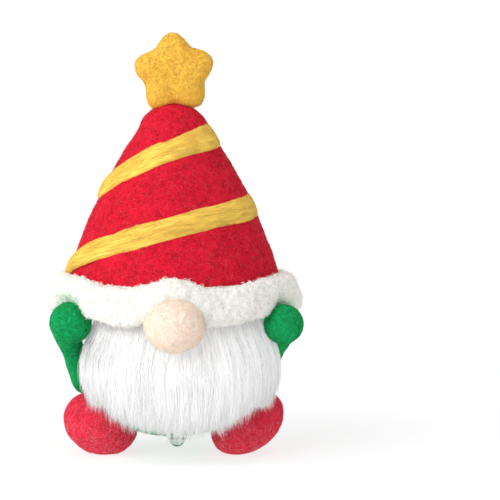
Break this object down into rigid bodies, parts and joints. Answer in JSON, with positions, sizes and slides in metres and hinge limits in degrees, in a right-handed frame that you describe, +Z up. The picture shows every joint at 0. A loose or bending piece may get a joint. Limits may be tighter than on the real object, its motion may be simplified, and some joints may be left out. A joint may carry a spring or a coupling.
{
  "type": "tomte gnome figurine",
  "caption": "Needle-felted gnome: ball body on two round feet, tall cone hat with a wound band, star and fleece brim, round nose, long beard and raised hands.",
  "frame": {"origin": "on the ground, under the middle of the whole outline, 4.8 mm in front of the hat's upright axis", "axes": "+Z up through the hat, -Y out of the front where the nose is, +X to the viewer's right (the figure's own left)"},
  "size_m": [0.1005, 0.1093, 0.165],
  "materials": {
    "red_felt": "matte needle-felted wool",
    "yellow_felt": "matte needle-felted wool",
    "green_felt": "matte needle-felted wool",
    "pink_felt": "matte needle-felted wool",
    "core_wool": "matte loose-packed wool",
    "fleece_pile": "matte curly pile",
    "beard_pile": "soft sheen, long straight fibres",
    "knit_backing": "matte knitted backing",
    "clear_bead": "clear, polished",
    "thread": "translucent nylon"
  },
  "bodies": {
    "root": {"body_core": "core_wool", "body_cover": "green_felt", "hat_core": "core_wool", "hat_cover": "red_felt", "hat_band": "yellow_felt", "trim_backing": "knit_backing", "trim_pile": "fleece_pile", "star": "yellow_felt", "nose": "pink_felt", "beard_backing": "knit_backing", "beard_pile": "beard_pile", "arm_left": "green_felt", "arm_right": "green_felt", "hand_left": "green_felt", "hand_right": "green_felt", "foot_core_left": "core_wool", "foot_core_right": "core_wool", "foot_left": "red_felt", "foot_right": "red_felt", "rear_bead": "clear_bead", "bead_thread": "thread"}
  },
  "joints": []
}
